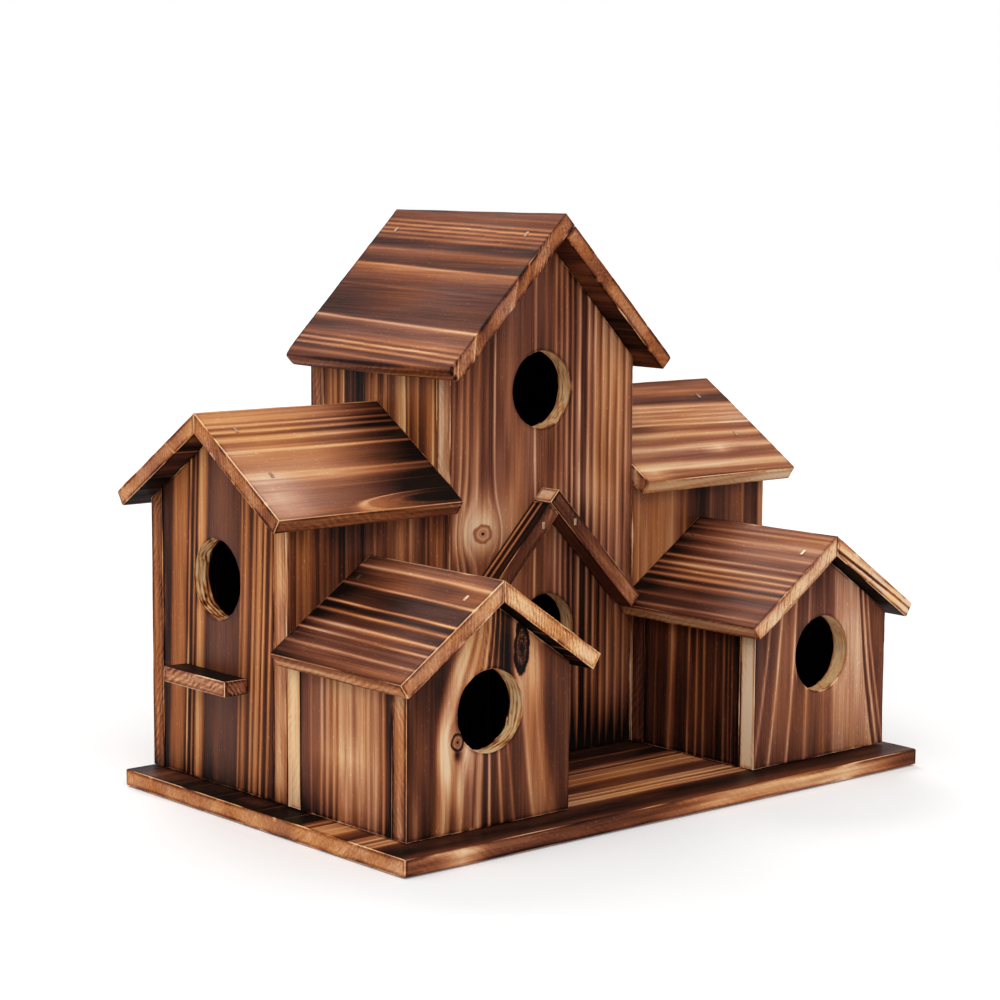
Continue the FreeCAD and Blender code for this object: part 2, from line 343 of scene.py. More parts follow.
@dataclass
class Wood:
    """How one board's wood looks.

    Levels of char run from 0, raw wood, to 1, black. Spots are listed as (along, across, reach
    along, reach across, change), in mm from the zero of the board's own axes.
    """

    bands: dict = field(default_factory=dict)  # place across: level, joined by straight lines
    lines: dict = field(default_factory=dict)  # place across: level of a thin latewood line
    at: float = None  # the place along the grain where bands and lines are listed
    centre: float = None  # the place across the face that the lines spread from
    drift: float = 0.0  # how far the lines slope across the board, per mm
    fan: float = 0.0  # how fast the lines spread from the centre, in percent per mm
    spacing: float = 3.4  # without bands: the middle distance between lines
    level: float = 0.62  # without bands: the middle level
    contrast: float = 1.0  # without bands: how far levels differ
    slant: float = None  # how far the rings shift across, per mm of depth
    wave: float = 1.0  # how far the lines wander
    uneven: float = None  # how patchy the char is: 0.5 with bands and 1 without, if not given
    warm: float = 0.5  # from 0, a pinkish brown, to 1, copper
    tone: float = 0.0  # added to the face's level
    foot: float = 0.0  # added to a wall's level at its foot
    burns: dict = field(default_factory=dict)  # side: level
    patches: tuple = ()  # spots of the wide faces' level
    side_patches: tuple = ()  # (side, place along it, reach, change of level)
    bends: tuple = ()  # spots where the grain shifts across the board
    # Shine spots raise the face's specular level and smooth its streaks. Where a spot is stronger
    # than 0.9, it also turns the colour pinkish as painted sheen.
    gloss: tuple = ()  # spots of the face's shine
    knots: tuple = ()  # (along, across, radius, stretch along the grain, darkness of the rim)
    wear: tuple = ()  # (side, mm of extra wear at its edges)
    rubbed: float = 0.0  # how far the edges are worn to raw wood
    sawn: float = 0.5  # how strong the saw marks are on narrow sides
    rings: float = 1.0  # how strong the bands are on narrow sides
    torn: float = 0.4  # how ragged the bores are
    split: float = 0.0  # mm that the dark layers of the starting end are open

    def __post_init__(self):
        if self.uneven is None:
            self.uneven = 0.5 if self.bands else 1.0


def grown(board, wood, rng):
    """Bands and lines of their own for a board without any: each band darkens from its line."""
    bands, lines = {}, {}
    place = board.low[1] - PAST_EDGE + rng.random() * wood.spacing
    while place < board.high[1] + PAST_EDGE:
        gap = wood.spacing * rng.choice((0.4, 0.6, 1, 1.5, 2.4))
        dark = wood.level + wood.contrast * rng.choice((-0.26, -0.12, 0, 0.1, 0.2))
        lines[place] = dark - wood.contrast * rng.choice((0.15, 0.32, 0.45))
        bands[place + 0.1 * gap] = dark - 0.14
        bands[place + 0.6 * gap] = dark
        bands[place + 0.92 * gap] = dark + 0.08
        place += gap
    return bands, lines


def knot_places(points, wood):
    """Each point's place about its nearest knot, in knot radii: 1 is the knot's rim. The last
    number is the darkness of the rim."""
    places = np.full((len(points), 3), 50.0)
    for along, across, radius, stretch, rim in wood.knots:
        about = np.column_stack(((points[:, 0] - along) / (radius * stretch),
                                 (points[:, 1] - across) / radius, 0 * points[:, 0] + rim))
        nearer = np.linalg.norm(about[:, :2], axis=1) < np.linalg.norm(places[:, :2], axis=1)
        places[nearer] = about[nearer]
    return places


def grain_places(board, wood, points, rng, seed):
    """Where each point lies across the growth rings, as a place on the face."""
    along, across, out = points.T
    at = (board.low[0] + board.high[0]) / 2 if wood.at is None else wood.at
    centre = (board.low[1] + board.high[1]) / 2 if wood.centre is None else wood.centre
    depth = board.high[2] - out
    slant = rng.uniform(0.6, 1.6) * rng.choice((-1, 1)) if wood.slant is None else wood.slant
    place = across + depth * (slant + 0.012 * (across - centre))
    place = place + wood.drift * (along - at)
    place = place + wood.fan * (along - at) * (across - centre) / 100
    place = place + wood.wave * uneven(points, (55, 22, 30), seed, 1.6)
    place = place + wood.wave * uneven(points, (17, 6, 9), seed + 1, 0.5)
    place = place + spots(points, wood.bends)
    for knot_along, knot_across, radius, stretch, _ in wood.knots:
        off = across - knot_across
        square = ((along - knot_along) / (1.5 * stretch)) ** 2 + off**2
        reach = 1.6 * radius
        bulge = 0.9 * reach**2 / np.maximum(square, reach**2) * np.exp(-square / (3 * reach) ** 2)
        place = place - off * bulge
    return place


def ring_field(lines, place):
    """At each place: the ring number with its fraction, and the level of the nearest line.

    The fraction is even near a line, LINE_SPAN mm to the whole number on each side of it, so
    the material can tell the distance from the line.
    """
    places, levels = np.array([(-BEYOND, 0.6), *lines.items(), (BEYOND, 0.6)]).T
    near = np.minimum(1.0, 0.45 * np.diff(places))
    number = np.arange(len(places), dtype=float)
    share = near / LINE_SPAN
    stops = np.concatenate((places, places[:-1] + near, places[1:] - near))
    phases = np.concatenate((number, number[:-1] + share, number[1:] - share))
    order = np.argsort(stops)
    phase = np.interp(place, stops[order], phases[order])
    return phase, levels[np.round(phase).astype(int)]


SIDES = ("start", "end", "low_edge", "high_edge", "inside", "face", "bore")

# The level of each side but the face, where the wood's burns give no other
SIDE_LEVELS = {"start": 0.27, "end": 0.27, "low_edge": 0.4, "high_edge": 0.4, "inside": 1.2,
               "bore": 0.2}


def side_of(normal):
    """The side of a board whose flat face looks the given way."""
    axis = int(np.argmax(abs(normal)))
    return SIDES[2 * axis + int(normal[axis] > 0)]


def bore_ridges(points, seed):
    """0 to 1 over a bore: ragged ridges that run round it."""
    turned = 5 * points[:, 2] + 9 * noise(points, (4, 4, 6), seed + 9)
    return 0.5 + 0.5 * np.sin(turned) * noise(points, (3, 3, 1), seed + 12) ** 0.5


def char_level(board, wood, points, shares, place, bands, seed):
    """How deeply the wood is charred at each point, the share of each side in it, and how far
    the face's char is from its band."""
    sides = [side_of(normal) for normal in board.normals] + ["bore"]
    share = {side: shares @ np.array([float(side == other) for other in sides])
             for side in SIDES}
    band = np.interp(place, list(bands), list(bands.values()))
    char = share["face"] * (band + wood.tone)
    plain = char.copy()
    for side, level in (SIDE_LEVELS | wood.burns).items():
        char += share[side] * (level + 0.5 * wood.rings * (band - 0.6))
    flat = share["face"] + share["inside"]
    narrow = 1 - flat
    char += wood.uneven * flat * uneven(points, (34, 9, 9), seed + 2, 0.34)
    char += wood.uneven * flat * uneven(points, (15, 2.4, 2.4), seed + 3, 0.26)
    edge = share["low_edge"] + share["high_edge"]
    char += (narrow - edge) * uneven(points, (9, 7, 7), seed + 3, 0.3)
    char += edge * uneven(points, (26, 2.2, 2.2), seed + 3, 0.34)
    char += edge * uneven(points, (9, 0.9, 0.9), seed + 17, 0.2)
    rough = noise(points, (1.4, 1.4, 0.8), seed + 13)
    furrows = 0.75 * (1 - bore_ridges(points, seed)) ** 2 + 0.9 * rough - 0.58
    char += share["bore"] * wood.torn * furrows

    # Edges are scorched beside a worn rim, and chipped back to raw wood in places
    margin = board.margin(points)
    come = noise(points, (11, 6, 6), seed + 4)
    char += 0.5 * come * bell(margin - 0.6, 0.4) * (0.55 + 0.45 * narrow)
    rubbed = smoothstep(0.3, 0.65, come + wood.rubbed) * (1 - share["bore"])
    char += (0.3 - 0.95 * rubbed) * bell(margin, 0.36)
    chips = smoothstep(0.74, 0.84, noise(points, (5, 3, 3), seed + 10))
    char -= 0.4 * chips * bell(margin, 0.9)
    char += flat * spots(points, wood.patches)
    for side, middle, reach, change in wood.side_patches:
        axis = 1 if side in ("start", "end") else 0
        square = ((points[:, axis] - middle) / reach) ** 2
        square += uneven(points, (20, 1.5, 1.5), seed + 14, 1.2)
        char += change * share[side] * np.exp(-np.maximum(square, 0))
    if wood.foot:
        reach = 3 + 5 * noise(points, (30, 4, 4), seed + 5)
        char += wood.foot * np.exp(-(points[:, 0] - BASE_TOP) / reach)
    return char, share, share["face"] * (char - plain)


def latewood(phase):
    """1 on a ring's line, falling to 0 in the band of soft wood."""
    return bell((phase - np.round(phase)) * LINE_SPAN, 0.5)


def dress(board, wood, material):
    """Builds a board's mesh and puts it in the place of its CAD solid."""
    code = zlib.crc32(board.name.encode())
    seed = code % 997
    rng = np.random.default_rng(code)
    bands, lines = (wood.bands, wood.lines) if wood.bands else grown(board, wood, rng)
    points, quads = board.surface()
    wear = EDGE_WEAR * (0.55 + 0.9 * noise(points, (9, 5, 5), seed + 6))
    for side, amount in wood.wear:
        edge = board.high[1] if side == "high_edge" else board.low[1]
        patchy = 0.6 + 0.8 * noise(points, (14, 9, 9), seed)
        wear += amount * bell(points[:, 1] - edge, 3) * patchy
    wear = np.minimum(wear, 0.44 * (board.high[2] - board.low[2]))
    if board.holes:
        rim = bell(board.margin(points), 1.2)
        wear += 0.5 * rim * noise(points, (1.3, 0.9, 0.9), seed + 11)
    points, out, shares = board.worn(points, wear)
    place = grain_places(board, wood, points, rng, seed)
    phase, line = ring_field(lines, place)
    char, share, deeper = char_level(board, wood, points, shares, place, bands, seed)
    narrow = 1 - share["face"] - share["inside"]
    line = line + wood.tone + 0.85 * deeper + 0.6 * share["inside"]
    line += 0.5 * (1 - wood.rings) * narrow
    gloss = 0.25 * noise(points, (30, 14, 14), seed + 16) ** 2 + spots(points, wood.gloss)
    gloss *= share["face"]
    sawn = wood.sawn * (narrow - share["bore"])
    knots = knot_places(points, wood)
    endwise = abs(out[:, 0])
    relief = RELIEF * (1 - latewood(phase)) * (1 - 0.7 * endwise)
    relief += 0.06 * noise(points, (12, 0.9, 0.9), seed + 7)
    relief += 0.16 * noise(points, (40, 14, 14), seed + 8)
    relief += share["bore"] * (0.1 + 0.5 * wood.torn * (1 - bore_ridges(points, seed)))
    relief += wood.split * share["start"] * smoothstep(0.62, 0.85, char)
    points = points - out * relief[:, None]
    world = (points + board.origin) @ board.axes

    corners = world[quads]
    facing = np.cross(corners[:, 2] - corners[:, 0], corners[:, 3] - corners[:, 1])
    inward = (facing * (out[quads].mean(axis=1) @ board.axes)).sum(axis=1) < 0
    quads[inward] = quads[inward][:, ::-1]
    ordered = np.sort(quads, axis=1)
    whole = (ordered[:, 1:] != ordered[:, :-1]).all(axis=1)
    mesh = bpy.data.meshes.new(board.name)
    mesh.from_pydata((world * MM).tolist(), [], quads[whole].tolist())
    mesh.shade_smooth()
    offset = np.array((seed * 1.37, seed * 0.71, seed * 0.29))
    warm = wood.warm + uneven(points, (26, 7, 7), seed + 15, 0.9)
    # Where the shine is strongest the colour turns pinkish: painted sheen, on top of the real gloss
    warm += 0.6 * share["bore"] - 0.9 * np.maximum(gloss - 0.9, 0)
    for name, kind, values in (
        ("wood", "FLOAT_VECTOR", points + offset), ("knot", "FLOAT_VECTOR", knots),
        ("ring", "FLOAT", phase), ("line", "FLOAT", line), ("gloss", "FLOAT", gloss),
        ("char", "FLOAT", char), ("warm", "FLOAT", warm), ("endwise", "FLOAT", endwise),
        ("sawn", "FLOAT", sawn),
    ):
        attribute = mesh.attributes.new(name, kind, "POINT")
        member = "vector" if kind == "FLOAT_VECTOR" else "value"
        attribute.data.foreach_set(member, values.astype(np.float32).ravel())
    mesh.materials.append(material)
    piece = add_object("dressed_" + board.name, mesh)
    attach(piece, "root")
    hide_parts(board.name)


def add_object(name, data):
    """Puts an object with this data, a mesh, a light or a camera, into the scene."""
    added = bpy.data.objects.new(name, data)
    bpy.context.scene.collection.objects.link(added)
    return added


# Materials

class Nodes:
    """Builds shader nodes: each call adds one node and gives one of its outputs."""

    def __init__(self, owner):
        self.tree = owner.node_tree
        self.shader = self.tree.nodes.get("Principled BSDF")

    def add(self, kind, inputs=(), output=0, **settings):
        node = self.tree.nodes.new("ShaderNode" + kind)
        for key, value in settings.items():
            setattr(node, key, value)
        for socket, value in dict(inputs).items():
            self.set(node.inputs[socket], value)
        return node.outputs[output]

    def set(self, socket, value):
        if isinstance(value, bpy.types.NodeSocket):
            self.tree.links.new(value, socket)
        else:
            socket.default_value = value

    def shade(self, **values):
        """Sets the shader's sockets, with _ for each space in their names."""
        for name, value in values.items():
            self.set(self.shader.inputs[name.replace("_", " ")], value)

    def math(self, operation, first, second=0.0, clamp=False):
        return self.add("Math", {0: first, 1: second}, operation=operation, use_clamp=clamp)

    def scaled(self, value, factor, added):
        """value * factor + added."""
        return self.add("Math", {0: value, 1: factor, 2: added}, operation="MULTIPLY_ADD")

    def attribute(self, name, output="Fac"):
        return self.add("Attribute", output=output, attribute_name=name)

    def ramp(self, factor, stops):
        """stops are (place, colour) or (place, brightness)."""
        node = self.add("ValToRGB", {"Fac": factor}).node
        ramp = node.color_ramp
        while len(ramp.elements) < len(stops):
            ramp.elements.new(1.0)
        for element, (place, colour) in zip(ramp.elements, stops):
            element.position = place
            element.color = (colour,) * 3 + (1,) if isinstance(colour, float) else (*colour, 1)
        return node.outputs["Color"]

    def noise(self, vector, stretch, detail=3.0, roughness=0.55):
        """Noise with blobs of about 1 / stretch mm along each of the board's axes."""
        scaled = self.add("VectorMath", {0: vector, 1: stretch}, operation="MULTIPLY")
        inputs = {"Vector": scaled, "Scale": 1.0, "Detail": detail, "Roughness": roughness}
        return self.add("TexNoise", inputs, output="Fac")

    def bump(self, height, strength, distance):
        inputs = {"Height": height, "Strength": strength, "Distance": distance}
        return self.add("Bump", inputs, output="Normal")


def new_material(name):
    """A material with Blender's standard surface shader."""
    material = bpy.data.materials.new(name)
    material.use_nodes = True
    return material


def srgb(red, green, blue):
    """A colour as it is seen, from 0 to 255, as the linear numbers that a shader takes."""
    values = np.array((red, green, blue)) / 255
    return tuple(np.where(values <= 0.04045, values / 12.92, ((values + 0.055) / 1.055) ** 2.4))


# The colours of the wood at each level of char: pinkish, and copper
CHARRING = (
    (0.0, (226, 198, 168), (230, 192, 142)), (0.15, (206, 165, 134), (216, 163, 108)),
    (0.3, (180, 126, 97), (190, 126, 76)), (0.46, (142, 89, 67), (158, 92, 50)),
    (0.62, (106, 61, 46), (118, 63, 35)), (0.77, (74, 41, 31), (80, 40, 24)),
    (0.91, (44, 24, 18), (46, 23, 15)), (1.0, (16, 10, 8), (16, 10, 7)),
)


def charred_wood():
    """Torched softwood: raw tan wood, copper and brown, down to black, by how deep the char is."""
    material = new_material("charred_wood")
    nodes = Nodes(material)
    place = nodes.attribute("wood", "Vector")
    ring = nodes.attribute("ring")
    char = nodes.attribute("char")
    endwise = nodes.attribute("endwise")

    # The thin latewood line of each ring, which comes and goes along the board. Where the wood
    # is nearly raw, the latewood is the darker part.
    part = nodes.math("FRACT", ring)
    nearest = nodes.math("MINIMUM", part, nodes.math("SUBTRACT", 1.0, part))
    away = nodes.math("MULTIPLY", nearest, 0.5 * LINE_SPAN)
    line = nodes.ramp(away, ((0.0, 1.0), (0.12, 0.85), (0.26, 0.3), (0.45, 0.0)))
    broken = nodes.noise(place, (0.03, 0.28, 0.28), 1.0)
    own = nodes.add("TexWhiteNoise", {"W": nodes.math("ROUND", ring)}, noise_dimensions="1D")
    strength = nodes.ramp(broken, ((0.3, 0.35), (0.58, 0.85)))
    line = nodes.math("MULTIPLY", line, nodes.scaled(own, 0.2, strength))
    gap = nodes.math("SUBTRACT", nodes.attribute("line"), char)
    gap = nodes.math("MINIMUM", gap, -0.05)
    raw = nodes.add("MapRange", {
        "Value": char, "From Min": 0.2, "From Max": 0.4, "To Min": 0.22, "To Max": 0.0,
    })
    line = nodes.math("MULTIPLY", line, nodes.math("ADD", gap, raw))

    # Fibres: long streaks on the faces, and specks on the end grain
    streaks = nodes.noise(place, (0.022, 1.15, 1.15), 4.0, 0.6)
    fibres = nodes.noise(place, (0.07, 4.2, 4.2), 2.0)
    gloss = nodes.attribute("gloss")
    streaky = nodes.add("MapRange", {
        "Value": gloss, "From Max": 0.5, "To Min": 0.34, "To Max": 0.1,
    })
    level = nodes.math("MULTIPLY", nodes.math("SUBTRACT", streaks, 0.5), streaky)
    level = nodes.math("ADD", nodes.math("SUBTRACT", level, 0.1), char)
    level = nodes.scaled(fibres, 0.2, level)
    chips = nodes.ramp(nodes.noise(place, (0.8, 2.4, 2.4), 3.0), ((0.62, 0.0), (0.78, 0.24)))
    level = nodes.math("SUBTRACT", level, chips)
    level = nodes.math("ADD", level, line)

    # Saw marks cross the narrow sides at a slant, between dark flecks
    sawn = nodes.attribute("sawn")
    across = nodes.add("VectorMath", {0: place, 1: (2.0, 4.6, 3.2)}, output="Value",
                       operation="DOT_PRODUCT")
    wobble = nodes.noise(place, (0.2, 0.2, 0.2), 3.0)
    marks = nodes.math("SINE", nodes.scaled(wobble, 14.0, across))
    shown = nodes.noise(place, (0.08, 0.3, 0.3), 2.0)
    marks = nodes.math("MULTIPLY", marks, nodes.ramp(shown, ((0.42, 0.01), (0.65, 0.13))))
    flecks = nodes.ramp(nodes.noise(place, (0.7, 1.6, 1.6), 2.0), ((0.52, 0.0), (0.75, 0.08)))
    cut = nodes.math("MULTIPLY", nodes.math("ADD", marks, flecks), sawn)
    level = nodes.math("ADD", level, cut)

    # A knot: a rim round rings of its own, with a dark heart
    about = nodes.add("SeparateXYZ", {0: nodes.attribute("knot", "Vector")}).node.outputs
    flat = nodes.add("CombineXYZ", {0: about[0], 1: about[1]})
    out = nodes.add("VectorMath", {0: flat}, output="Value", operation="LENGTH")
    lumps = nodes.noise(place, (0.5, 0.5, 0.5), 3.0)
    half = nodes.math("MULTIPLY", out, nodes.scaled(lumps, 0.24, 0.38))
    heart = nodes.ramp(half, (
        (0.0, 0.95), (0.06, 0.85), (0.12, 0.3), (0.2, 0.4), (0.26, 0.24), (0.36, 0.34),
    ))
    rim = nodes.ramp(half, ((0.36, 0.0), (0.44, 1.0), (0.5, 1.0), (0.57, 0.0)))
    rim = nodes.math("MULTIPLY", rim, nodes.math("MULTIPLY", about[2], 0.42))
    inside = nodes.ramp(half, ((0.4, 1.0), (0.6, 0.0)))
    dead = nodes.add("MapRange", {"Value": about[2], "From Min": 1.0, "To Min": 0.0,
                                  "From Max": 1.3, "To Max": 0.95})
    specks = nodes.noise(place, (1.6, 1.6, 1.6), 2.0)
    heart = nodes.scaled(dead, specks, heart)
    level = nodes.add("Mix", {"Factor": inside, "A": level, "B": heart})
    level = nodes.math("ADD", level, rim)
    level = nodes.scaled(level, 1.14, -0.07)

    pinkish, copper = (nodes.ramp(level, [(stop[0], srgb(*stop[tint])) for stop in CHARRING])
                       for tint in (1, 2))
    patchy = nodes.noise(place, (0.02, 0.3, 0.3), 2.0)
    warm = nodes.scaled(patchy, 0.8, nodes.attribute("warm"))
    warm = nodes.math("SUBTRACT", warm, 0.4, clamp=True)
    mixed = nodes.add("Mix", {"Factor": warm}, data_type="RGBA").node
    nodes.set(mixed.inputs[6], pinkish)
    nodes.set(mixed.inputs[7], copper)

    # The charred faces have a satin sheen; raw wood and end grain are dull
    sheen = nodes.ramp(level, ((0.0, 0.72), (0.35, 0.52), (0.7, 0.44), (1.0, 0.5)))
    rough = nodes.scaled(patchy, 0.16, nodes.scaled(endwise, 0.28, sheen))
    rough = nodes.math("SUBTRACT", rough, 0.1, clamp=True)
    rough = nodes.math("SUBTRACT", rough, nodes.math("MULTIPLY", gloss, 0.1), clamp=True)
    height = nodes.math("ADD", nodes.math("ADD", streaks, fibres), line)
    height = nodes.math("SUBTRACT", height, nodes.math("MULTIPLY", cut, 2.0))
    nodes.shade(Base_Color=mixed.outputs[2], Roughness=rough,
                Specular_IOR_Level=nodes.scaled(gloss, 0.2, 0.03),
                Normal=nodes.bump(height, 0.5, 0.12 * MM))
    return material


def nail_wire():
    """Bright drawn wire with fine lengthwise marks and a little tarnish."""
    material = new_material("brad")
    nodes = Nodes(material)
    place = nodes.add("TexCoord", output="Object")
    marks = nodes.noise(place, (9000.0, 900.0, 2500.0), 2.0)
    tarnish = nodes.noise(place, (900.0, 900.0, 900.0), 3.0)
    colour = nodes.ramp(tarnish, ((0.3, srgb(142, 112, 88)), (0.7, srgb(196, 166, 138))))
    nodes.shade(Base_Color=colour, Metallic=1.0,
                Roughness=nodes.ramp(marks, ((0.3, 0.28), (0.7, 0.48))),
                Normal=nodes.bump(marks, 0.3, 0.03 * MM))
    return material


# The boards. Places across the walls are the model's own, and on a roof they count from the ridge.

EAVE = (("high_edge", 0.4),)  # extra wear of a roof board's eave

